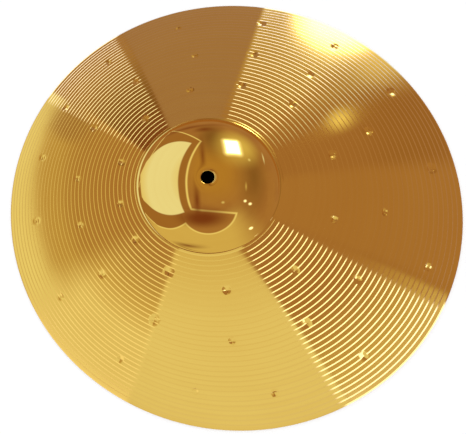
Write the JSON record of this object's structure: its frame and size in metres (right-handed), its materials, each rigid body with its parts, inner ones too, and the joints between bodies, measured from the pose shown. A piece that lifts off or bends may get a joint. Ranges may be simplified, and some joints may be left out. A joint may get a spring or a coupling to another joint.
{
  "type": "crash cymbal",
  "caption": "Round lathed and hammered brass crash cymbal with a raised bell, a shallow bow, a thin edge and a central mounting hole.",
  "frame": {"origin": "on the cymbal's axis, in the plane that the rim rests on", "axes": "+Z along the axis, from the rim towards the bell; X and Y lie in the rim plane and are interchangeable"},
  "size_m": [0.4064, 0.4064, 0.043],
  "materials": {
    "brass": "lathed grooves and hammer marks on the bow, polished bell, clear lacquer"
  },
  "bodies": {
    "root": {"cymbal": "brass"}
  },
  "joints": []
}
